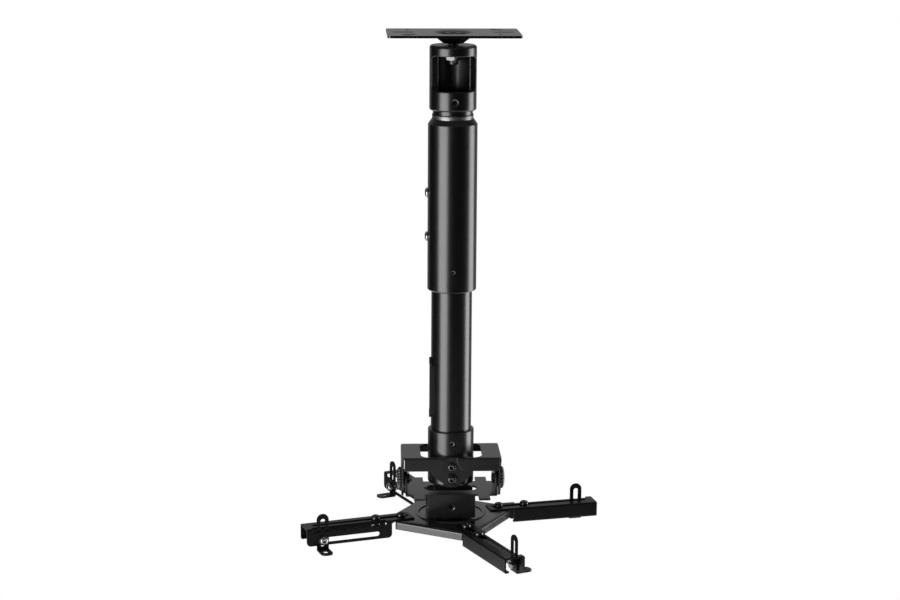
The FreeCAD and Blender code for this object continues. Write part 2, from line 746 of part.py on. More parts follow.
def inner_tube():
    outer, inner = INNER_R, f"({INNER_R} - inner_wall)"
    foot = f"({TILT_TOP} - inner_into_collar)"
    piece = ring("inner_tube", outer, inner, f"{INNER_TOP} - {foot}", INNER_TOP)
    middle = f"({TILT_TOP} + outlet_rise - ({INNER_TOP}))"
    half = "(outlet_tall - outlet_wide) / 2"
    outlet = piece.side().slot("0", f"{middle} - {half}", "0", f"{middle} + {half}", "outlet_wide / 2")
    piece.pocket(outlet, "tube_d")
    screw_down = f"({INNER_TOP} - ({TILT_TOP}) + tilt_screw_drop)"
    piece.pocket(piece.front().circle("0", f"-{screw_down}", "tilt_screw_d / 2"), "tube_d", flip=True)
    guide = ring("guide_ring", f"{TUBE_BORE} - run_gap", f"{outer} + run_gap", "ring_tall", INNER_TOP)
    split = guide.side().rectangle("-ring_split / 2", f"-ring_tall - {PAST}", "ring_split / 2", PAST)
    guide.pocket(split, "tube_d")
    grommet = Piece("cable_grommet", z=f"({TILT_TOP} + outlet_rise)", turn="180")
    inside, proud = f"{outer} + run_gap", f"{outer} + grommet_thick"
    tall = "(outlet_tall / 2 + grommet_rim)"
    grommet.turn(grommet.front().rectangle(inside, f"-{tall}", proud, tall))
    wide = "(outlet_wide / 2 + grommet_rim)"
    around = ("-tube_d", f"-{tall} - {PAST}", "tube_d", f"{tall} + {PAST}")
    frame = grommet.side().rectangle(*around)
    frame.slot("0", f"-{half}", "0", half, wide)
    grommet.pocket(frame, "tube_d", flip=True)
    grommet.pocket(grommet.side().rectangle(*around), "tube_d")
    grommet.pocket(grommet.side().slot("0", f"-{half}", "0", half, "outlet_wide / 2 - grommet_lip"), "tube_d",
                   flip=True)


def tilt_collar():
    piece = Piece("tilt_collar", z=TILT_TOP)
    outer, bore, neck = TILT_R, f"({INNER_R} + run_gap)", f"({INNER_R} - tilt_shelf)"
    across = f"(2 * {TILT_R})"
    shelf, foot = "-inner_into_collar", "(-tilt_tall)"
    piece.turn(piece.front().polygon([
        (bore, "0"), (f"{outer} - tilt_edge", "0"), (outer, "-tilt_edge"),
        (outer, f"{foot} + tilt_round", "tilt_round", -1), (f"{outer} - tilt_round", foot), (neck, foot),
        (neck, shelf), (bore, shelf)]))
    for way in (1, -1):
        flat = piece.front(f"{way} * {FLAT_Y}")
        flat.rectangle(f"-{across}", f"{foot} - {PAST}", across, f"{foot} + tilt_flat_tall")
        piece.pocket(flat, across, flip=way > 0)
    holes = piece.front()
    for rise in ("0", "lock_above_pivot"):
        holes.circle("0", f"{foot} + roll_above_foot + {rise}", "bolt_d / 2 + run_gap")
    piece.pocket(holes, f"2 * {across}", both=True)
    piece.pocket(piece.front().circle("0", "-tilt_screw_drop", "tilt_screw_d / 2"), across, flip=True)
    set_screw("tilt_set_screw", "tilt_screw_d", f"{INNER_R} - inner_wall + face_gap", f"{outer} - screw_sink",
              f"({TILT_TOP} - tilt_screw_drop)")


def roll_screws():
    hole = "bolt_d / 2 + run_gap"
    face = f"({TONGUE_Y} + face_gap)"
    seat = f"({face} + roll_washer_thick)"
    lock = f"({ROLL_AXIS} + lock_above_pivot)"
    pivot_screw = forward_screw("pivot_screw", "roll_head_d", "roll_head_tall", "bolt_d", "roll_screw_long",
                                "small_socket")
    washer = forward_disc("pivot_washer", "roll_washer_d", hole, "roll_washer_thick")
    spacer = forward_disc("pivot_spacer", "roll_spacer_d", hole, "roll_spacer_thick")
    group("roll_pivot_screws", pivot_screw, front_and_back(seat), ROLL_AXIS)
    group("roll_washers", washer, front_and_back(face), ROLL_AXIS)
    group("roll_lock_screws", pivot_screw, front_and_back(face), lock)
    group("roll_spacers", spacer, front_and_back(f"({FLAT_Y} + face_gap)"), ROLL_AXIS)


def front_and_back(reach):
    return [("0", f"-{reach}", "0", "0"), ("0", reach, "0", "180")]


def roll_bracket():
    piece = Piece("roll_bracket", z=SADDLE_TOP)
    wide, deep, axis = "saddle_wide / 2", SADDLE_Y, "-pitch_below_saddle"
    piece.pad(piece.top().rectangle(f"-{wide}", f"-{deep}", wide, deep), "sheet", flip=True)
    piece.round("saddle_corner", x=[wide, f"-{wide}"], y=[deep, f"-{deep}"])
    strip, tongue, brow = f"({wide} - flange_inset)", "tongue_wide / 2", "relief_top_wide / 2"
    skirt = "relief_foot_wide / 2"
    sag = "(saddle_rise + tongue_drop - flange_tall)"
    tongue_r = f"(({tongue}) ^ 2 + {sag} ^ 2) / (2 * {sag})"
    for way in (1, -1):
        ear = piece.side(f"{way} * {wide}")
        right = [(f"{deep} - saddle_corner", "-sheet / 2"), (f"{deep} - saddle_corner", "-ear_shoulder"),
                 ("ear_wide / 2", "-ear_shoulder - ear_slope"), ("ear_wide / 2", f"{axis} - ear_below_axis")]
        ear.polygon(right + [(f"-({y})", z) for y, z in reversed(right)])
        piece.pad(ear, "sheet", flip=way > 0)
        tall = "flange_tall" if way > 0 else "back_flange_tall"
        flange = piece.front(f"{way} * {deep}").rectangle(f"-{strip}", f"-{tall}", strip, "-sheet / 2")
        piece.pad(flange, "sheet", flip=way > 0)
    piece.round("ear_wide / 2 - joint_gap", y=["ear_wide / 2", "-ear_wide / 2"], z=[f"{axis} - ear_below_axis"])
    piece.round("bend", x=[wide, f"-{wide}"], z=["0"])
    hole_x, hole_y = "saddle_hole_wide / 2", f"({deep} - sheet)"
    piece.pocket(piece.top().rounded(f"-{hole_x}", f"-{hole_y}", hole_x, hole_y, "saddle_hole_round"), "sheet")
    for way in (1, -1):
        relief = piece.front(f"{way} * {deep}")
        low = f"-flange_tall - {PAST}"
        relief.polygon([(f"-{brow}", PAST), (brow, PAST), (brow, "-relief_neck"), (skirt, low),
                        (f"-{skirt}", low), (f"-{brow}", "-relief_neck")])
        piece.pocket(relief, "tongue_set_back", flip=way < 0)
        plate = piece.front(f"{way} * {TONGUE_Y}")
        plate.polygon([(f"-{tongue}", "0"), (f"-{tongue}", "-flange_tall", tongue_r, 1),
                       (tongue, "-flange_tall"), (tongue, "0")])
        piece.pad(plate, "sheet", flip=way > 0)
    holes = piece.front()
    holes.circle("0", "-saddle_rise", "bolt_d / 2 + run_gap")
    lock = "lock_above_pivot - saddle_rise"
    holes.slot("-lock_swing", lock, "lock_swing", lock, "bolt_d / 2 + joint_gap")
    piece.pocket(holes, f"4 * {deep}", both=True)
    piece.pocket(piece.side().circle("0", axis, "pitch_bolt_d / 2 + run_gap"), "saddle_wide * 2", both=True)


def pitch_fasteners():
    seat, inner = "(saddle_wide / 2 + face_gap)", f"({UPRIGHT_X} - sheet - face_gap)"
    tip = f"({inner} - pitch_nut_tall - pitch_past_nut)"
    knob = sideways_bolt("pitch_knob", tip, seat, "pitch_bolt_d", "knob_d", "knob_tall")
    rim, past = "knob_d / 2", f"knob_d / 2 + {PAST}"
    notch = [("-knob_notch", past), ("0", f"{rim} - knob_notch"), ("knob_notch", past)]
    knob.pocket(knob.side(seat).polygon(notch), "knob_tall", flip=True)
    notches = knob.body.newObject("PartDesign::PolarPattern", "knob_notches")
    notches.Originals = [knob.body.Tip]
    notches.Axis = ([item for item in knob.body.Origin.OriginFeatures if item.Role == "X_Axis"][0], [""])
    notches.Angle = 360
    bind(notches, "Occurrences", "knob_teeth")
    knob.body.Tip = notches
    sides = [("0", "0", "0", "0"), ("0", "0", "0", "180")]
    group("pitch_knobs", knob, sides, PITCH_AXIS)
    hole = "pitch_bolt_d / 2 + run_gap"
    inside = Piece("pitch_nut", kept=False)
    inside.pad(inside.side(inner).hexagon("pitch_nut_wide").circle("0", "0", hole), "pitch_nut_tall", flip=True)
    group("pitch_nuts", inside, sides, PITCH_AXIS)
    spacer = Piece("pitch_spacer", kept=False)
    disc = spacer.side(f"{UPRIGHT_X} + face_gap").circle("0", "0", "pitch_spacer_d / 2").circle("0", "0", hole)
    spacer.pad(disc, "pitch_side_gap - 2 * face_gap")
    group("pitch_spacers", spacer, sides, PITCH_AXIS)


def pitch_bracket():
    piece = Piece("pitch_bracket", z=BASE_TOP)
    deep, box = BOX_Y, "box_wide / 2"
    outline = piece.top().rectangle(f"-{UPRIGHT_X}", f"-{deep}", UPRIGHT_X, deep)
    piece.pad(outline, "sheet", flip=True)
    for way in (1, -1):
        near, far = f"{way} * base_tab_in", f"{way} * base_tab_out"
        tab = piece.top().rectangle(near, "-base_tab_reach", far, "base_tab_reach")
        piece.pad(tab, "sheet", flip=True)
    head = "(base_below_axis + upright_above_axis)"
    half = "upright_wide / 2"
    for way in (1, -1):
        upright = piece.side(f"{way} * {UPRIGHT_X}").rectangle(f"-{half}", "-sheet / 2", half, head)
        piece.pad(upright, "sheet", flip=way > 0)
        flange = piece.front(f"{way} * {deep}").rectangle(f"-{box}", "-box_tall", box, "-sheet / 2")
        piece.pad(flange, "sheet", flip=way > 0)
    piece.round("upright_round", y=[half, f"-{half}"], z=[head])
    piece.round("bend", x=[UPRIGHT_X, f"-{UPRIGHT_X}"], z=["-sheet"])
    hole = "(base_hole_wide - base_hole_deep) / 2"
    piece.pocket(piece.top().slot(f"-{hole}", "0", hole, "0", "base_hole_deep / 2"), "sheet")
    piece.pocket(piece.front().circle("0", "-box_hole_drop", "box_hole_d / 2"), "base_deep * 2", both=True)
    pivot = piece.side().circle("0", "base_below_axis", "pitch_bolt_d / 2 + run_gap")
    piece.pocket(pivot, "saddle_wide * 2", both=True)


def yaw_bearing():
    carrier = Piece("yaw_carrier", z=CARRIER_FOOT)
    half, reach, head = "carrier_wide / 2", f"({BOX_Y} - sheet - face_gap)", "(carrier_tall + sheet)"
    carrier.pad(carrier.top().rectangle(f"-{half}", f"-{reach}", half, reach), "sheet")
    for way in (1, -1):
        wall = carrier.front(f"{way} * {reach}").rectangle(f"-{half}", "sheet / 2", half, head)
        carrier.pad(wall, "sheet", flip=way > 0)
    carrier.round("bend", y=[reach, f"-{reach}"], z=["0"])
    screw_up = f"({head} + face_gap + sheet - box_hole_drop)"
    carrier.pocket(carrier.front().circle("0", screw_up, "box_hole_d / 2"), "base_deep * 2", both=True)
    carrier.pocket(carrier.top().circle("0", "0", "yaw_bolt_d / 2 + run_gap"), "sheet", flip=True)
    grub = Piece("carrier_screw", kept=False)
    grub.pad(grub.front().circle("0", "0", "box_hole_d / 2 - run_gap"), "carrier_screw_long", flip=True)
    grub.pocket(grub.front().hexagon("box_hole_d / 2"), "carrier_screw_long / 2")
    sunk = front_and_back(f"({BOX_Y} - thin_screw_sink)")
    group("carrier_screws", grub, sunk, f"({BASE_TOP} - box_hole_drop)")
    ring("bearing_disc", "bearing_d / 2", "yaw_bolt_d / 2 + run_gap", "bearing_thick", CARRIER_FOOT)
    under = f"({HUB_TOP} - hub_sheet - face_gap)"
    seat = f"({CARRIER_FOOT} + sheet)"
    down_screw("yaw_bolt", "yaw_head_d", "yaw_head_tall", "yaw_bolt_d",
               f"{seat} - {under} + yaw_nut_tall + screw_past_nut", "large_socket", kept=True, z=seat)
    nut("yaw_nut", "yaw_nut_wide", "yaw_nut_tall", "yaw_bolt_d / 2", under)


def hub_plate():
    piece = Piece("hub_plate", z=HUB_TOP)
    root_half, tongue_half = "hub_root_wide / 2", "hub_tongue_wide / 2"
    roots, insides, tongues = [], [], []
    for turn, shift, _ in ARMS.values():
        for side in (-1, 1):
            roots.append(turned("hub_root", f"{shift} + {side} * {root_half}", turn))
            insides.append(turned("hub_root", f"{shift} + {side} * ({root_half} - hub_rim_inset)", turn))
        ends = (("hub_root", -1), ("hub_reach", -1), ("hub_reach", 1), ("hub_root", 1))
        tongues.append([turned(along, f"{shift} + {side} * {tongue_half}", turn) for along, side in ends])
    piece.pad(piece.top().polygon(roots), "hub_sheet", flip=True)
    # The folded rim runs from each arm to the next.
    rims = piece.top()
    for i in range(1, len(roots), 2):
        after = (i + 1) % len(roots)
        rims.polygon([roots[i], roots[after], insides[after], insides[i]])
    piece.pad(rims, "hub_rim_tall", flip=True)
    piece.round("hub_bend", z=["0"], within="hub_root - hub_bend")
    for tongue in tongues:
        piece.pad(piece.top().polygon(tongue), "hub_sheet", flip=True)
    bead, flank, crown = "bead_d / 2", "bead_wide / 2", "bead_crown / 2"
    piece.turn(piece.front().polygon([(f"{bead} - {flank}", "-bead_root"), (f"{bead} + {flank}", "-bead_root"),
                                      (f"{bead} + {crown}", "bead_tall"), (f"{bead} - {crown}", "bead_tall")]))
    holes = piece.top().circle("0", "0", "yaw_bolt_d / 2 + run_gap")
    spots = []
    for turn, shift, _ in ARMS.values():
        for reach in ("hub_screw_near", "hub_screw_far"):
            x, y = turned(reach, shift, turn)
            holes.circle(x, y, "arm_screw_d / 2 + run_gap")
            spots.append((x, y, "0", turn))
    piece.pocket(holes, "hub_sheet")
    grip = "arm_sheet + 2 * face_gap + hub_sheet + arm_nut_tall + screw_past_nut"
    screw = down_screw("arm_screw", "arm_head_d", "arm_head_tall", "arm_screw_d", grip, "small_socket")
    group("arm_screws", screw, spots, f"({WEB_TOP} + face_gap)")
    small_nut = nut("arm_nut", "arm_nut_wide", "arm_nut_tall", "arm_screw_d / 2", "0", kept=False)
    group("arm_nuts", small_nut, spots, f"({HUB_TOP} - hub_sheet)")


def arm(name, turn, shift):
    x, y = turned("0", shift, turn)
    piece = Piece(f"arm_{name}", x=x, y=y, z=WEB_TOP, turn=turn)
    half = SLOT_WALL_Y
    piece.pad(piece.top().rectangle("arm_start", f"-{half}", "arm_end", half), "arm_sheet", flip=True)
    start, end, top = "arm_wall_start", "arm_end", "-arm_sheet / 2"
    piece.pad(piece.front(f"-{half}").rectangle(start, "-slot_wall_tall", end, top), "arm_sheet")
    piece.pad(piece.front(half).rectangle(start, "-plain_wall_tall", end, top), "arm_sheet", flip=True)
    lip = piece.top("-plain_wall_tall").rectangle("arm_wall_start", f"-{half}", "arm_end", f"arm_lip - {half}")
    piece.pad(lip, "arm_sheet")
    piece.round("arm_tip_round", x=["arm_start"], y=[half, f"-{half}"])
    piece.round("arm_bend", y=[half, f"-{half}"], z=["0"])
    piece.round("arm_bend", y=[f"-{half}"], z=["-plain_wall_tall"])
    piece.round("arm_wall_round", x=["arm_wall_start", "arm_end"], z=["-slot_wall_tall"])
    web_r = "web_slot_wide / 2"
    web = piece.top().slot(f"web_slot_start + {web_r}", "0", f"web_slot_end - {web_r}", "0", web_r)
    piece.pocket(web, "arm_sheet")
    corner = piece.top()
    corner.rectangle("corner_slot_start", f"{half} - corner_slot_in", "corner_slot_end", f"{half} + {PAST}")
    piece.pocket(corner, "corner_slot_down")
    wall_r = "wall_slot_wide / 2"
    wall = piece.front(f"-{half} + arm_sheet")
    level = "-wall_slot_drop"
    wall.slot(f"wall_slot_start + {wall_r}", level, f"wall_slot_end - {wall_r}", level, wall_r)
    piece.pocket(wall, "arm_sheet")


def foot(name, turn, shift, lift):
    x, y = turned("foot_place", shift, turn)
    piece = Piece(f"foot_bracket_{name}", x=x, y=y, z=f"({WEB_TOP} + {lift})", turn=turn)
    half, low, high = "foot_wide / 2", "-foot_below_web", "foot_above_web"
    outer = f"({SLOT_WALL_Y} - arm_sheet - foot_gap)"
    inner, toe = f"({outer} - foot_sheet)", f"({outer} + foot_reach)"
    piece.pad(piece.front(f"-{outer}").rectangle(f"-{half}", low, half, high), "foot_sheet")
    piece.pad(piece.top(low).rectangle(f"-{half}", inner, half, toe), "foot_sheet")
    piece.round(f"{half} - joint_gap", x=[half, f"-{half}"], z=[high])
    piece.round("foot_corner", x=[half, f"-{half}"], y=[toe])
    piece.round("foot_bend", y=[inner], z=[low])
    strip = piece.front(f"-{inner}").slot("0", "-foot_slot_foot", "0", "foot_slot_top", "foot_slot_wide / 2")
    piece.pocket(strip, "foot_sheet")
    hole_y, hole_r = f"({outer} + foot_reach / 2)", "foot_hole_wide / 2"
    reach = "(foot_hole_long - foot_hole_wide) / 2"
    hole = piece.top(f"{low} + foot_sheet").slot("0", f"{hole_y} - {reach}", "0", f"{hole_y} + {reach}", hole_r)
    piece.pocket(hole, "foot_sheet")
    height = f"({WEB_TOP} - wall_slot_drop)"
    face = f"({SLOT_WALL_Y} + face_gap)"
    seat = f"({face} + foot_washer_thick)"
    nut_face = f"({inner} - face_gap)"
    back = f"({turn} + 180)"
    bore = "foot_bolt_d / 2 + run_gap"
    x, y = turned("foot_place", f"{shift} + {seat}", turn)
    forward_screw(f"foot_bolt_{name}", "foot_head_d", "foot_head_tall", "foot_bolt_d",
                  f"{seat} - {nut_face} + foot_nut_tall + screw_past_nut", "small_socket", kept=True,
                  x=x, y=y, z=height, turn=back)
    x, y = turned("foot_place", f"{shift} + {face}", turn)
    forward_disc(f"foot_washer_{name}", "foot_washer_d", bore, "foot_washer_thick", kept=True,
                 x=x, y=y, z=height, turn=back)
    x, y = turned("foot_place", f"{shift} + {nut_face}", turn)
    inside = Piece(f"foot_nut_{name}", x=x, y=y, z=height, turn=turn)
    inside.pad(inside.front().hexagon("foot_nut_wide").circle("0", "0", bore), "foot_nut_tall")


def main():
    ceiling_plate()
    ball_joint()
    swivel_collar()
    neck_and_cap()
    outer_tube()
    inner_tube()
    tilt_collar()
    roll_screws()
    roll_bracket()
    pitch_fasteners()
    pitch_bracket()
    yaw_bearing()
    hub_plate()
    for name, (turn, shift, lift) in ARMS.items():
        arm(name, turn, shift)
        foot(name, turn, shift, lift)


main()
doc.recompute()
broken = [thing.Name for thing in doc.Objects if "Invalid" in thing.State or "Error" in thing.State]
if broken:
    raise RuntimeError(f"failed objects: {broken}")
for name, thing in PARTS.items():
    shape = thing.Shape
    if shape.isNull() or not shape.isValid():
        raise RuntimeError(f"bad shape: {name}")
os.makedirs("parts", exist_ok=True)
for name, thing in PARTS.items():
    thing.Shape.exportStep(f"parts/{name}.step")
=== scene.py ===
import json
import math

import bmesh
import bpy
from mathutils import Matrix, Vector


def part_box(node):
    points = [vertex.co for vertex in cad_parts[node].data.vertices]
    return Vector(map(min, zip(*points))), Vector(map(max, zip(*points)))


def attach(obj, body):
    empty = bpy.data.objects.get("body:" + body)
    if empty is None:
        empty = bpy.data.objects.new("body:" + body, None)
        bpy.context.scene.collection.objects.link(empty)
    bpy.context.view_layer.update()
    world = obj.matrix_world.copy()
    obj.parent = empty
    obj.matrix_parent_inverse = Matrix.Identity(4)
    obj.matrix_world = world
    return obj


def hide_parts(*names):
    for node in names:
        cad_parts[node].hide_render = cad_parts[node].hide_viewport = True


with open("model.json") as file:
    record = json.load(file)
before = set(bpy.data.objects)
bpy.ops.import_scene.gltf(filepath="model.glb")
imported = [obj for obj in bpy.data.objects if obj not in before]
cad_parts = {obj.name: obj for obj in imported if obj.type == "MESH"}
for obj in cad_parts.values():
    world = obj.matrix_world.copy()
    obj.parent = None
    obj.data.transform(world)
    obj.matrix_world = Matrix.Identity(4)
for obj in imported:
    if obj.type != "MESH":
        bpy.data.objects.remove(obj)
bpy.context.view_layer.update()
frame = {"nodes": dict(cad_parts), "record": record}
nodes = frame["nodes"]
scene = bpy.context.scene
scene.view_settings.view_transform = "Standard"

# Lengths are in metres and angles in degrees.
# Camera, with its focal length in pixels of an image this wide.
IMAGE_WIDE = 900
FOCAL_PX = 2200
SENSOR_MM = 36
CAMERA_DIST = 2.638
CAMERA_HIGH = 0.252
CAMERA_SIDE = -0.002
CAMERA_TURN = -3.0
CAMERA_PITCH = 12.4
CAMERA_ROLL = 0.36

# Floor disc, which turns white between the two radii of its fade.
FLOOR_Z = -1.3
FLOOR_BACK = 0.1
FLOOR_R = 1.75
FLOOR_SEGMENTS = 96
FLOOR_FADE = (0.45, 1.2)
FLOOR_LIFT = 0.6
FLOOR_TONES = (0.82, 0.86)

# Soft boxes, turned to the right from the front, with their radiance as glow.
BOX_Z = -0.64
BOX_TALL = 1.4
KEY_TURN = -47
KEY_DIST = 2.2
KEY_WIDE = 1.7
KEY_GLOW = 3.3
SIDE_TURN = 99
SIDE_DIST = 1.6
SIDE_WIDE = 0.9
SIDE_GLOW = 3.1
TOP_WIDE = 1.6
TOP_PLACE = (0, 0.2, 1.6)
TOP_GLOW = 0.1

# Room: the radiance of its parts, and where they fade, as shares of a ray's direction.
ROOM_GLOW = 0.25
DARK_ROOM = 0.004
BACKDROP_GLOW = 0.31
BACKDROP_RISE = 35
BACKDROP_FADE = (0.60, 0.93)
UPPER_GLOW = 0.07
UPPER_FADE = (0.02, 0.30)
LOW_GLOW = 0.25
LOW_FADE = (0.10, -0.10)
LOW_BACK_FADE = (0.60, 0.88)
WHITE = (1.0, 1.0, 1.0, 1.0)

# Directions, and the names of the four arms.
UP = (0, 0, 1)
FRONT = (0, -1, 0)
LEFT = (-1, 0, 0)
RIGHT = (1, 0, 0)
SIDES = ("right", "back", "left", "front")


def new_object(name, data):
    thing = bpy.data.objects.new(name, data)
    scene.collection.objects.link(thing)
    return thing


# Materials

# Surface details shared by the materials.
BEVEL_SAMPLES = 12
GRAIN_HIGH = 0.0001
NOISE_MIDDLE = 0.5
NOISE_BAND = (0.3, 0.7)
INNER_LIMIT = -0.01

# Black powder coat. A spread is how far the roughness goes below and above its value.
COAT_TONE = 0.004
COAT_MOTTLE = (0.75, 1.3)
COAT_ROUGH = 0.29
COAT_SPREAD = (0.01, 0.015)
PEEL_HIGH = 0.0003
DUST_COLOUR = (0.10, 0.098, 0.095, 1.0)
SPECK_ROUGH = 0.05
CLEAR_WEIGHT = 0.6

# Plated metal: darker patches and brighter edges, as shares of its colour.
METAL_SPREAD = (0.05, 0.08)
METAL_EDGE_SHARE = 0.5
PATCH_SHARE = 0.72
BRIGHT_SHARE = 1.15
BRIGHTEST = 0.95

# Black screws and plastic.
SCREW_SPREAD = (0.04, 0.06)
RUBBED_TONE = 0.16
PLASTIC_SPREAD = (0.05, 0.05)
PLASTIC_MOTTLE = (0.8, 1.25)
PLASTIC_EDGE = 3
PLASTIC_EDGE_SHARE = 0.4

# Bare ring, with its painted ends measured from its top and from its foot.
RING_MOTTLE = (1.0, 0.7)
RING_ROUGH = (0.34, 0.50)
PAINT_FROM_TOP = (0.0016, 0.0011)
PAINT_FROM_FOOT = (0.0007, 0.0002)
PAINT_RAGGED = 0.0026
LATHE_LINES = (20.0, 20.0, 5200.0)


class Nodes:
    """Small helper that adds shader nodes and links them."""

    def __init__(self, tree):
        self.tree = tree
        self.tree.nodes.clear()

    def add(self, kind, settings=None, **inputs):
        node = self.tree.nodes.new(f"ShaderNode{kind}")
        for key, value in (settings or {}).items():
            setattr(node, key, value)
        for key, value in inputs.items():
            self.feed(node.inputs[key.replace("_", " ")], value)
        return node

    def feed(self, socket, value):
        if isinstance(value, bpy.types.NodeSocket):
            self.tree.links.new(value, socket)
        else:
            socket.default_value = value

    def feed_all(self, node, *values):
        for socket, value in zip(node.inputs, values):
            self.feed(socket, value)
        return node.outputs

    def math(self, operation, first, second=0.0):
        return self.feed_all(self.add("Math", {"operation": operation}), first, second)[0]

    def vector(self, operation, *values):
        return self.feed_all(self.add("VectorMath", {"operation": operation}), *values)

    def dot(self, first, second):
        return self.vector("DOT_PRODUCT", first, second)["Value"]

    def split(self, vector):
        return self.add("SeparateXYZ", None, Vector=vector).outputs

    def ramp(self, value, low, high, to_low=0.0, to_high=1.0):
        node = self.add("MapRange", {"interpolation_type": "SMOOTHSTEP"}, Value=value,
                        From_Min=low, From_Max=high, To_Min=to_low, To_Max=to_high)
        return node.outputs[0]

    def spread(self, noise, to_low=0.0, to_high=1.0):
        """The middle band of a noise, spread over a range."""
        return self.ramp(noise, *NOISE_BAND, to_low, to_high)

    def uneven(self, noise, rough, spread):
        """Roughness that goes a little below and above its value."""
        less, more = spread
        return self.spread(noise, rough - less, rough + more)

    def place(self):
        return self.add("TexCoord").outputs["Object"]

    def noise(self, scale, detail=2.0, roughness=0.5):
        node = self.add("TexNoise", None, Vector=self.place(), Scale=scale, Detail=detail,
                        Roughness=roughness)
        return node.outputs["Fac"]

    def bump(self, height, strength, distance=GRAIN_HIGH, **inputs):
        node = self.add("Bump", None, Strength=strength, Distance=distance, Height=height, **inputs)
        return node.outputs["Normal"]

    def mix_colour(self, share, first, second):
        node = self.add("Mix", {"data_type": "RGBA"})
        self.feed(node.inputs["Factor"], share)
        self.feed(node.inputs["A"], first)
        self.feed(node.inputs["B"], second)
        return node.outputs["Result"]

    def mix_greys(self, share, tone, shares):
        low, high = shares
        return self.mix_colour(share, grey(tone * low), grey(tone * high))

    def mirrored(self, rays):
        """Mask that is 1 for what shiny metal and glass see."""
        return self.math("MAXIMUM", rays["Is Glossy Ray"], rays["Is Transmission Ray"])


def grey(level):
    return (level, level, level, 1.0)


def toned(colour, share):
    """The colour, darker or brighter by a share."""
    return tuple(min(part * share, BRIGHTEST) for part in colour[:3]) + (1.0,)


def new_material(name):
    material = bpy.data.materials.new(name)
    material.use_nodes = True
    return material, Nodes(material.node_tree)


def finish_material(tree, kind, **inputs):
    shader = tree.add(kind, None, **inputs)
    tree.add("OutputMaterial", None, Surface=shader.outputs[0])
    return shader


def edge_mask(tree, radius):
    """Normal with edges rounded by the radius, and a mask that is 1 on the edges."""
    rounded = tree.add("Bevel", {"samples": BEVEL_SAMPLES}, Radius=radius).outputs["Normal"]
    flat = tree.add("NewGeometry").outputs["Normal"]
    return rounded, tree.ramp(tree.dot(rounded, flat), low=0.99, high=0.80)


def upright_faces(tree):
    """Mask that is 1 on faces that stand upright, such as cut edges."""
    rise = tree.split(tree.add("TexCoord").outputs["Normal"])["Z"]
    return tree.ramp(tree.math("ABSOLUTE", rise), low=0.96, high=0.70)


def inner_faces(tree):
    """Mask that is 1 on faces that look towards the pole's axis."""
    spot = tree.add("TexCoord").outputs
    from_axis = tree.vector("MULTIPLY", spot["Object"], (1.0, 1.0, 0.0))["Vector"]
    return tree.math("LESS_THAN", tree.dot(from_axis, spot["Normal"]), INNER_LIMIT)


def powder_coat(name, rough, peel, wear, edge=0.0006, shine=1.0, patch=None, patch_rough=0.0):
    """Black powder coat: orange-peel bump, mottled gloss, thin dusty edges and a few chips at the corners.
    The faces in the patch have a roughness of their own."""
    material, tree = new_material(name)
    rounded, edges = edge_mask(tree, edge)
    orange_peel = tree.noise(scale=620, detail=4.0, roughness=0.6)
    broken = tree.ramp(tree.noise(scale=420, detail=4.0, roughness=0.7), low=0.45, high=0.70)
    worn = tree.math("MULTIPLY", tree.math("MULTIPLY", edges, broken), wear)
    mottled = tree.mix_greys(tree.noise(scale=60, detail=3.0), COAT_TONE, COAT_MOTTLE)
    specks = tree.ramp(tree.noise(scale=2600, detail=1.0), low=0.62, high=0.72)
    gloss = tree.uneven(tree.noise(scale=90), rough, COAT_SPREAD)
    roughness = tree.math("ADD", gloss, tree.math("MULTIPLY", specks, SPECK_ROUGH))
    if patch:
        change = tree.math("MULTIPLY", patch(tree), patch_rough - rough)
        roughness = tree.math("ADD", roughness, change)
    finish_material(tree, "BsdfPrincipled", Base_Color=tree.mix_colour(worn, mottled, DUST_COLOUR),
                    Roughness=roughness, Normal=tree.bump(orange_peel, peel, PEEL_HIGH, Normal=rounded),
                    IOR=1.5, Specular_IOR_Level=shine, Coat_Weight=CLEAR_WEIGHT * shine, Coat_Roughness=0.22)
    return material


def plated(name, colour, rough, grain):
    """Bright metal: fine turned or drawn grain, patchy gloss, darker patches and bright edges."""
    material, tree = new_material(name)
    rounded, edges = edge_mask(tree, radius=0.0003)
    fine = tree.noise(scale=grain, detail=4.0, roughness=0.6)
    patches = tree.ramp(tree.noise(scale=160, detail=3.0), low=0.35, high=0.75)
    shade = tree.mix_colour(patches, colour, toned(colour, PATCH_SHARE))
    rubbed = tree.math("MULTIPLY", edges, METAL_EDGE_SHARE)
    shade = tree.mix_colour(rubbed, shade, toned(colour, BRIGHT_SHARE))
    finish_material(tree, "BsdfPrincipled", Base_Color=shade, Metallic=1.0,
                    Roughness=tree.uneven(fine, rough, METAL_SPREAD),
                    Normal=tree.bump(fine, strength=0.12, Normal=rounded))
    return material


def black_oxide(name, tone, rough):
    """Blackened steel screw: thin dark layer with a steely sheen and rubbed edges."""
    material, tree = new_material(name)
    rounded, edges = edge_mask(tree, radius=0.0004)
    grain = tree.noise(scale=2200, detail=3.0)
    rubbed = tree.math("MULTIPLY", edges, tree.ramp(tree.noise(scale=700, detail=3.0), low=0.4, high=0.7))
    gloss = tree.noise(scale=300, detail=3.0)
    finish_material(tree, "BsdfPrincipled", Base_Color=tree.mix_colour(rubbed, grey(tone), grey(RUBBED_TONE)),
                    Roughness=tree.uneven(gloss, rough, SCREW_SPREAD),
                    Normal=tree.bump(grain, strength=0.1, Normal=rounded),
                    IOR=1.6, Specular_IOR_Level=0.9, Coat_Weight=0.6, Coat_Roughness=0.15)
    return material


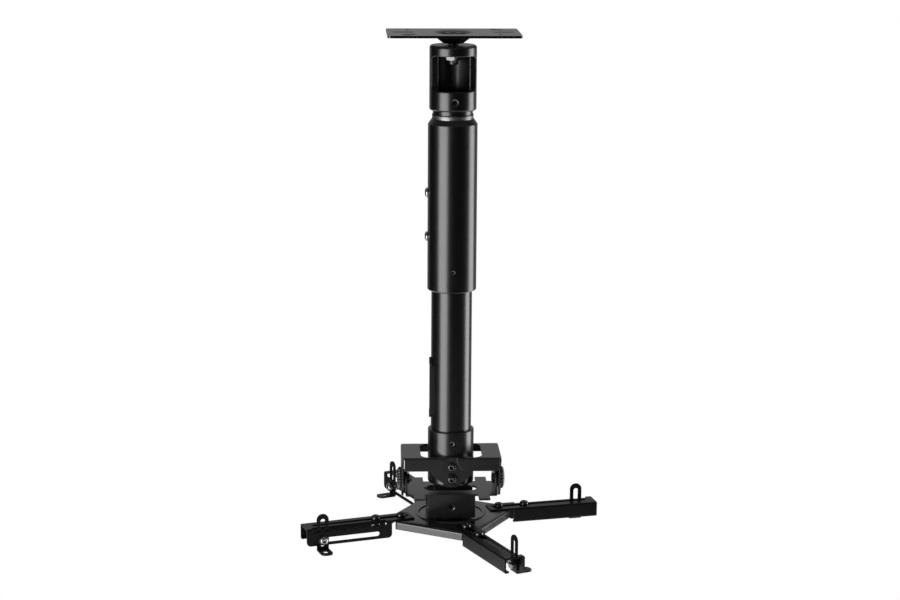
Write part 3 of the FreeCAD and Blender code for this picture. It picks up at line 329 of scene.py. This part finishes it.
def moulded_plastic(name, tone, rough):
    """Matt moulded plastic with a fine spark-eroded grain."""
    material, tree = new_material(name)
    rounded, edges = edge_mask(tree, radius=0.0004)
    grain = tree.noise(scale=1800, detail=4.0, roughness=0.6)
    colour = tree.mix_greys(tree.noise(scale=90), tone, PLASTIC_MOTTLE)
    rubbed = tree.math("MULTIPLY", edges, PLASTIC_EDGE_SHARE)
    colour = tree.mix_colour(rubbed, colour, grey(tone * PLASTIC_EDGE))
    finish_material(tree, "BsdfPrincipled", Base_Color=colour, IOR=1.48,
                    Roughness=tree.uneven(grain, rough, PLASTIC_SPREAD),
                    Normal=tree.bump(grain, strength=0.2, Normal=rounded))
    return material


def worn_ring(name, tone, foot, top):
    """Bare turned ring between two heights, whose paint ends in ragged edges above and below."""
    material, tree = new_material(name)
    wander = tree.math("SUBTRACT", tree.noise(scale=160, detail=4.0, roughness=0.6), NOISE_MIDDLE)
    height = tree.math("ADD", tree.split(tree.place())["Z"], tree.math("MULTIPLY", wander, PAINT_RAGGED))
    upper = tree.ramp(height, *(top - drop for drop in PAINT_FROM_TOP))
    lower = tree.ramp(height, *(foot + rise for rise in PAINT_FROM_FOOT))
    painted = tree.math("MAXIMUM", upper, lower)
    lines = tree.add("Mapping", None, Vector=tree.place(), Scale=LATHE_LINES).outputs[0]
    grooves = tree.add("TexNoise", None, Vector=lines, Scale=1.0, Detail=3.0).outputs["Fac"]
    shade = tree.mix_greys(tree.spread(tree.noise(scale=70, detail=3.0)), tone, RING_MOTTLE)
    finish_material(tree, "BsdfPrincipled", Base_Color=tree.mix_colour(painted, shade, grey(COAT_TONE)),
                    Metallic=tree.math("SUBTRACT", 1.0, painted),
                    Roughness=tree.spread(grooves, *RING_ROUGH), Normal=tree.bump(grooves, strength=0.25))
    return material


# Materials by the record's slots, and those of nodes that look different from their slot.
MATERIALS = {
    "black_coat": powder_coat("black_powder_coat", COAT_ROUGH, peel=0.14, wear=0.7),
    "bright_zinc": plated("bright_zinc", (0.74, 0.74, 0.72, 1.0), rough=0.24, grain=1400),
    "bare_steel": plated("bare_steel", (0.50, 0.50, 0.49, 1.0), rough=0.34, grain=900),
    "black_screw": black_oxide("black_oxide_steel", tone=0.004, rough=0.24),
    "black_plastic": moulded_plastic("black_plastic", tone=0.008, rough=0.5),
}
ring_low, ring_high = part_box("neck_ring")
NODE_MATERIALS = {
    "stud_nut": plated("dull_zinc", (0.34, 0.34, 0.33, 1.0), rough=0.40, grain=1400),
    # The ball stud has a dark steel colour, far darker than bare steel.
    "ball_stud": plated("dark_steel", (0.15, 0.15, 0.15, 1.0), rough=0.42, grain=700),
    "neck_ring": worn_ring("worn_ring", tone=0.40, foot=ring_low[2], top=ring_high[2]),
    "swivel_collar": powder_coat("collar_coat", COAT_ROUGH, peel=0.14, wear=0.5, edge=0.0024,
                                 patch=inner_faces, patch_rough=0.5),
    "hub_plate": powder_coat("hub_coat", rough=0.24, peel=0.03, wear=0.35, edge=0.001),
    "ceiling_plate": powder_coat("plate_coat", COAT_ROUGH, peel=0.14, wear=0.12, edge=0.0002,
                                 patch=upright_faces, patch_rough=0.12),
}
# The folded brackets, arms and feet are duller than the tubes.
bracket_coat = powder_coat("bracket_coat", rough=0.37, peel=0.14, wear=0.5, edge=0.001)
arm_coat = powder_coat("arm_coat", rough=0.32, peel=0.03, wear=0.7, edge=0.0005, shine=0.3)
for node_name in ("roll_bracket", "pitch_bracket"):
    NODE_MATERIALS[node_name] = bracket_coat
for side_name in SIDES:
    NODE_MATERIALS[f"arm_{side_name}"] = arm_coat
    NODE_MATERIALS[f"foot_bracket_{side_name}"] = arm_coat


def dress_nodes():
    slots = {part["node"]: part["material_slot"] for part in frame["record"]["subparts"]}
    for name, thing in nodes.items():
        thing.data.materials.clear()
        thing.data.materials.append(NODE_MATERIALS.get(name, MATERIALS[slots[name]]))


# Fasteners, rebuilt over the CAD ones with smooth heads, sockets and threads

SEGMENTS = 48
SHARP_ANGLE = 35
FINE_PITCH = 0.001
COARSE_PITCH = 0.00175
SPARE_ROWS = 4
HALF_FLAT = math.pi / 6

# How the points of a CAD screw are read.
ISLAND_WELD = 1e-6
PIECE_WELD = 1e-7
RIM_SHARE = 0.97
TIP_BAND = 0.0002

# Domed head: rings as shares of radius and height, then the dome from the rim's height to the crown.
HEAD_RIM = 0.16
HEAD_RINGS = ((0.96, 0.0), (1.0, 0.05), (1.0, HEAD_RIM))
DOME_STEPS = 9
CROWN_IN = 0.96
SOCKET_SHARE = 0.78
SOCKET_RINGS = ((1.0, 0.97, "hex"), (0.97, 0.93, "hex"), (0.97, 0.45, "hex"), (0.5, 0.40), (0, 0.30))

# Threaded end of a screw, as shares of the shank's radius and of the pitch.
RUN_OUT_R = 0.93
RUN_OUT_STEP = 0.0002
RUN_OUT_LONG = 0.2
TIP_R = 0.72
TIP_BEVEL_R = 0.88
TIP_LONG = 0.6
THREAD_DEEP = 0.5

# Fluted knob: rings as shares of radius and height, with the depth of the flutes.
KNOB_FLUTES = 20
KNOB_STEPS = 240
KNOB_GROOVE = 0.0014
KNOB_RINGS = ((0.94, 0.0, KNOB_GROOVE), (1.0, 0.10, KNOB_GROOVE), (1.0, 0.42, KNOB_GROOVE),
              (0.95, 0.62, KNOB_GROOVE), (0.86, 0.80, KNOB_GROOVE * 0.9), (0.71, 0.93, KNOB_GROOVE * 0.7),
              (0.56, 0.99, KNOB_GROOVE * 0.4), (0.46, 1.0))
KNOB_SOCKET_SHARE = 0.26
KNOB_SOCKET_RINGS = ((1.12, 1.0), (1.0, 0.95, "hex"), (0.98, 0.90, "hex"), (0.98, 0.35, "hex"),
                     (0.5, 0.30), (0, 0.22))
KNOB_TIP_R = 0.85
KNOB_TIP_BEVEL = 0.0006

# Bare thread of a tapped hole, and its mouth.
HOLE_CREST = 0.985
HOLE_PITCH = FINE_PITCH * 0.8
HOLE_THREAD_DEEP = 0.0005
HOLE_MOUTH = 0.98
HOLE_MOUTH_IN = 0.0006
HOLE_MOUTH_OUT = 0.0004

# Thread of the ball stud, whose shank is a share of the ball.
STUD_SHARE = 12 / 21
STUD_TIP = 0.0014
STUD_CREST = 0.0003
STUD_THREAD_DEEP = 0.0006


def islands(name):
    """Points of each separate solid in a CAD node."""
    shape = bmesh.new()
    shape.from_mesh(nodes[name].data)
    bmesh.ops.remove_doubles(shape, verts=shape.verts, dist=ISLAND_WELD)
    seen = set()
    groups = []
    for vert in shape.verts:
        if vert in seen:
            continue
        seen.add(vert)
        waiting = [vert]
        group = []
        while waiting:
            item = waiting.pop()
            group.append(item.co.copy())
            others = {edge.other_vert(item) for edge in item.link_edges} - seen
            seen |= others
            waiting += others
        groups.append(group)
    shape.free()
    return groups


class Bolt:
    """Sizes of one CAD screw, read along the way that its head faces."""

    def __init__(self, points, axis):
        self.axis = Vector(axis).normalized()
        side = self.axis.orthogonal().normalized()
        other = self.axis.cross(side)
        middle = Vector()
        for way in (side, other):
            reach = [point.dot(way) for point in points]
            middle += way * (min(reach) + max(reach)) / 2
        self.line = middle
        heights = [point.dot(self.axis) for point in points]
        radii = [(point - middle - self.axis * height).length for point, height in zip(points, heights)]
        tip = min(heights)
        self.head_r = max(radii)
        self.seat = min(height for height, radius in zip(heights, radii) if radius > RIM_SHARE * self.head_r)
        self.shank_r = max(radius for height, radius in zip(heights, radii) if height < tip + TIP_BAND)
        self.head_tall = max(heights) - self.seat
        self.tip = tip - self.seat

    def frame(self):
        """Matrix that puts the seat at the origin and the head up."""
        turn = self.axis.to_track_quat("Z", "Y").to_matrix().to_4x4()
        return Matrix.Translation(self.line + self.axis * self.seat) @ turn


def polar(matrix, reach, angle, height):
    return matrix @ Vector((reach * math.cos(angle), reach * math.sin(angle), height))


def ring_reach(radius, angle, form, flutes):
    """Reach of a ring at an angle: round, with a hexagon's flats at the radius, or fluted."""
    if form == ["hex"]:
        return radius / math.cos((angle + HALF_FLAT) % (2 * HALF_FLAT) - HALF_FLAT)
    if form:
        return radius - form[0] * (0.5 - 0.5 * math.cos(flutes * angle)) ** 2
    return radius


def spin(shape, matrix, rings, steps=SEGMENTS, flutes=1):
    """Skin of rings round the local Z axis. A ring is (radius, height), with "hex" where the radius is
    that of a hexagon's flats, or with the depth of its flutes."""
    rows = []
    for radius, height, *form in rings:
        row = []
        for step in range(steps if radius else 1):
            angle = 2 * math.pi * step / steps
            row.append(shape.verts.new(polar(matrix, ring_reach(radius, angle, form, flutes), angle, height)))
        rows.append(row)
    for first, second in zip(rows, rows[1:]):
        for step in range(steps):
            after = (step + 1) % steps
            corners = [first[step % len(first)], first[after % len(first)],
                       second[after % len(second)], second[step % len(second)]]
            shape.faces.new(dict.fromkeys(corners))


def thread(shape, matrix, radius, low, high, pitch, depth):
    """Helical thread round the local Z axis, with its crests at the radius. The spare rows at its two ends
    are pressed flat there."""
    count = int(2 * (high - low) / pitch) + SPARE_ROWS
    columns = []
    for step in range(SEGMENTS + 1):
        angle = 2 * math.pi * step / SEGMENTS
        column = []
        for row in range(count):
            height = low - pitch + pitch * (row / 2 + step / SEGMENTS)
            reach = radius if row % 2 else radius - depth
            column.append(shape.verts.new(polar(matrix, reach, angle, min(max(height, low), high))))
        columns.append(column)
    for first, second in zip(columns, columns[1:]):
        for row in range(count - 1):
            shape.faces.new((first[row], second[row], second[row + 1], first[row + 1]))


def scaled(rings, radius, height):
    """Rings given in shares, brought to a radius and a height."""
    return [(radius * reach, height * rise, *form) for reach, rise, *form in rings]


def button_head(bolt, crown):
    """Rings of a domed head with a hexagon socket, from under the head to the socket's floor."""
    head = bolt.head_r
    tall = bolt.head_tall
    flat = head * crown
    rings = [(bolt.shank_r, 0.0)] + scaled(HEAD_RINGS, head, tall)
    for step in range(1, DOME_STEPS + 1):
        angle = math.pi / 2 * step / DOME_STEPS
        rise = HEAD_RIM + (1 - HEAD_RIM) * math.sin(angle)
        rings.append((flat + (head - flat) * math.cos(angle), tall * rise))
    rings.append((flat * CROWN_IN, tall))
    return rings + scaled(SOCKET_RINGS, flat * SOCKET_SHARE, tall)


def screw(shape, bolt, crown, pitch, threaded):
    """Whole screw: head, plain shank and a threaded end with a bevelled tip."""
    matrix = bolt.frame()
    shank = bolt.shank_r
    start = min(bolt.tip + threaded, -pitch)
    bevel = bolt.tip + pitch * TIP_LONG
    spin(shape, matrix, button_head(bolt, crown))
    spin(shape, matrix, [(shank * RUN_OUT_R, start), (shank, start + RUN_OUT_STEP), (shank, 0.0)])
    thread(shape, matrix, shank, bevel, start + pitch * RUN_OUT_LONG, pitch, pitch * THREAD_DEEP)
    spin(shape, matrix, [(0, bolt.tip), (shank * TIP_R, bolt.tip), (shank * TIP_BEVEL_R, bevel)])


def make_piece(name, shape, body, slot):
    """Object from a shape, which rides a body and has the material of a slot."""
    bmesh.ops.remove_doubles(shape, verts=shape.verts, dist=PIECE_WELD)
    bmesh.ops.recalc_face_normals(shape, faces=shape.faces)
    mesh = bpy.data.meshes.new(name)
    shape.to_mesh(mesh)
    shape.free()
    mesh.shade_smooth()
    mesh.set_sharp_from_angle(angle=math.radians(SHARP_ANGLE))
    mesh.materials.append(MATERIALS[slot])
    piece = new_object(name, mesh)
    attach(piece, body)
    return piece


def body_of_node(name):
    bodies = frame["record"]["behaviour"]["bodies"]
    return [body for body, members in bodies.items() if name in members][0]


def bolts_of(node, axis, both_ways=False):
    """Each screw of a CAD node. Those that face both ways have the axis turned away from the pole."""
    bolts = []
    for points in islands(node):
        way = Vector(axis)
        middle = sum(points, Vector()) / len(points)
        if both_ways and middle.dot(way) <= 0:
            way = -way
        bolts.append(Bolt(points, way))
    return bolts


def screws_for(node, axis, slot, crown=0.52, pitch=FINE_PITCH, threaded=0.004, both_ways=False):
    """One piece with a detailed screw in place of each screw of a CAD node."""
    shape = bmesh.new()
    for bolt in bolts_of(node, axis, both_ways):
        screw(shape, bolt, crown, pitch, threaded)
    piece = make_piece(f"{node}_detail", shape, body_of_node(node), slot)
    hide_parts(node)


def pitch_knobs():
    """Pivot bolts with a domed, fluted head and a hexagon socket."""
    shape = bmesh.new()
    for bolt in bolts_of("pitch_knobs", RIGHT, both_ways=True):
        shank = bolt.shank_r
        rings = [(0, bolt.tip), (shank * KNOB_TIP_R, bolt.tip), (shank, bolt.tip + KNOB_TIP_BEVEL)]
        rings.append((shank, 0.0))
        rings += scaled(KNOB_RINGS, bolt.head_r, bolt.head_tall)
        rings += scaled(KNOB_SOCKET_RINGS, bolt.head_r * KNOB_SOCKET_SHARE, bolt.head_tall)
        spin(shape, bolt.frame(), rings, KNOB_STEPS, KNOB_FLUTES)
    piece = make_piece("pitch_knobs_detail", shape, body_of_node("pitch_knobs"), "black_screw")
    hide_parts("pitch_knobs")


def arm_axes():
    """Direction of each arm, from its sliding joint."""
    joints = {joint["name"]: joint for joint in frame["record"]["behaviour"]["joints"]}
    return {name: Vector(joints[f"arm_{name}_slide"]["axis"]) for name in SIDES}


def tapped_hole(node, axis, deep, both_ways=False):
    """Bare thread of the hole in front of a sunk set screw."""
    shape = bmesh.new()
    for bolt in bolts_of(node, axis, both_ways):
        matrix = bolt.frame() @ Matrix.Translation((0, 0, bolt.head_tall))
        mouth = deep - HOLE_MOUTH_IN
        thread(shape, matrix, bolt.head_r * HOLE_CREST, 0.0, mouth, HOLE_PITCH, HOLE_THREAD_DEEP)
        spin(shape, matrix, [(bolt.head_r * HOLE_MOUTH, mouth), (bolt.head_r, deep - HOLE_MOUTH_OUT)])
    make_piece(f"{node}_thread", shape, body_of_node(node), "bare_steel")


def stud_thread():
    """Thread on the end of the ball stud, below the nut."""
    shape = bmesh.new()
    bolt = bolts_of("ball_stud", UP)[0]
    nut_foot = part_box("stud_nut")[0][2]
    crest = bolt.head_r * STUD_SHARE + STUD_CREST
    low = bolt.tip + STUD_TIP
    high = nut_foot - bolt.seat
    thread(shape, bolt.frame(), crest, low, high, COARSE_PITCH, STUD_THREAD_DEEP)
    make_piece("stud_thread", shape, "stud", "bright_zinc")


def fasteners():
    screws_for("arm_screws", UP, "black_screw")
    screws_for("roll_pivot_screws", FRONT, "black_screw", both_ways=True)
    screws_for("roll_lock_screws", FRONT, "black_screw", both_ways=True)
    screws_for("height_bolts", LEFT, "bright_zinc", crown=0.34)
    for name, along in arm_axes().items():
        across = Vector(UP).cross(along)
        screws_for(f"foot_bolt_{name}", across, "bright_zinc")
    tapped_hole("collar_set_screw", FRONT, deep=0.0024)
    tapped_hole("tilt_set_screw", FRONT, deep=0.0024)
    tapped_hole("tube_set_screw", FRONT, deep=0.0014)
    tapped_hole("carrier_screws", FRONT, deep=0.0014, both_ways=True)
    pitch_knobs()
    stud_thread()


# Studio

def area_lamp(name, wide, tall, glow):
    lamp = bpy.data.lights.new(name, "AREA")
    lamp.shape = "RECTANGLE"
    lamp.size = wide
    lamp.size_y = tall
    lamp.energy = glow * math.pi * wide * tall
    return new_object(name, lamp)


def turned(angle, axis):
    return Matrix.Rotation(math.radians(angle), 4, axis)


def soft_box(name, turn, distance, wide, glow):
    """Upright lamp that faces the pole."""
    stand = Matrix.Translation((0, -distance, BOX_Z))
    area_lamp(name, wide, BOX_TALL, glow).matrix_world = turned(turn, "Z") @ stand @ turned(90, "X")


def studio_light():
    soft_box("key_box", KEY_TURN, KEY_DIST, KEY_WIDE, KEY_GLOW)
    soft_box("side_box", SIDE_TURN, SIDE_DIST, SIDE_WIDE, SIDE_GLOW)
    area_lamp("top_box", TOP_WIDE, TOP_WIDE, TOP_GLOW).location = TOP_PLACE


def backdrop_world():
    """White background for the camera, and for shiny metal a room that is bright behind and dark in front."""
    world = bpy.data.worlds.new("studio")
    world.use_nodes = True
    scene.world = world
    tree = Nodes(world.node_tree)
    rays = tree.add("LightPath").outputs
    way = tree.add("TexCoord").outputs["Generated"]
    rise = math.radians(BACKDROP_RISE)
    towards = tree.dot(way, (0.0, math.cos(rise), math.sin(rise)))
    behind = tree.ramp(towards, *BACKDROP_FADE, DARK_ROOM, BACKDROP_GLOW)
    parts = tree.split(way)
    upper = tree.ramp(parts["Z"], *UPPER_FADE, 0.0, UPPER_GLOW)
    below = tree.ramp(parts["Z"], *LOW_FADE, 0.0, LOW_GLOW)
    low_behind = tree.math("MULTIPLY", tree.ramp(parts["Y"], *LOW_BACK_FADE), below)
    seen = tree.math("MAXIMUM", behind, tree.math("MAXIMUM", upper, low_behind))
    shiny = tree.math("MULTIPLY", tree.mirrored(rays), seen)
    matt = tree.math("MULTIPLY", rays["Is Diffuse Ray"], ROOM_GLOW)
    strength = tree.math("MAXIMUM", tree.math("ADD", shiny, matt), rays["Is Camera Ray"])
    shader = tree.add("Background", None, Color=WHITE, Strength=strength)
    tree.add("OutputWorld", None, Surface=shader.outputs[0])


def pale_floor():
    """Pale floor disc that fades to the white background towards its rim."""
    mesh = bpy.data.meshes.new("floor")
    shape = bmesh.new()
    bmesh.ops.create_circle(shape, cap_ends=True, radius=FLOOR_R, segments=FLOOR_SEGMENTS)
    shape.to_mesh(mesh)
    shape.free()
    floor = new_object("floor", mesh)
    floor.location = (0, FLOOR_BACK, FLOOR_Z)
    material, tree = new_material("pale_floor")
    reach = tree.vector("LENGTH", tree.place())["Value"]
    rays = tree.add("LightPath").outputs
    rim = tree.math("MULTIPLY", tree.ramp(reach, *FLOOR_FADE), tree.mirrored(rays))
    lift = tree.math("MULTIPLY", tree.ramp(reach, *FLOOR_FADE, FLOOR_LIFT, 1.0), rays["Is Camera Ray"])
    grain = tree.mix_greys(tree.noise(scale=40, detail=4.0), 1.0, FLOOR_TONES)
    plain = tree.add("BsdfDiffuse", None, Color=grain)
    glow = tree.add("Emission", None, Color=WHITE, Strength=1.0)
    mixed = finish_material(tree, "MixShader", Fac=tree.math("MAXIMUM", rim, lift))
    tree.feed(mixed.inputs[1], plain.outputs[0])
    tree.feed(mixed.inputs[2], glow.outputs[0])
    mesh.materials.append(material)


def set_camera():
    lens = bpy.data.cameras.new("camera")
    lens.sensor_fit = "HORIZONTAL"
    lens.sensor_width = SENSOR_MM
    lens.lens = SENSOR_MM * FOCAL_PX / IMAGE_WIDE
    camera = new_object("camera", lens)
    stand = Matrix.Translation((CAMERA_SIDE, -CAMERA_DIST, CAMERA_HIGH))
    aim = turned(90 - CAMERA_PITCH, "X") @ turned(CAMERA_ROLL, "Z")
    camera.matrix_world = turned(CAMERA_TURN, "Z") @ stand @ aim
    scene.camera = camera


dress_nodes()
fasteners()
backdrop_world()
studio_light()
pale_floor()
set_camera()
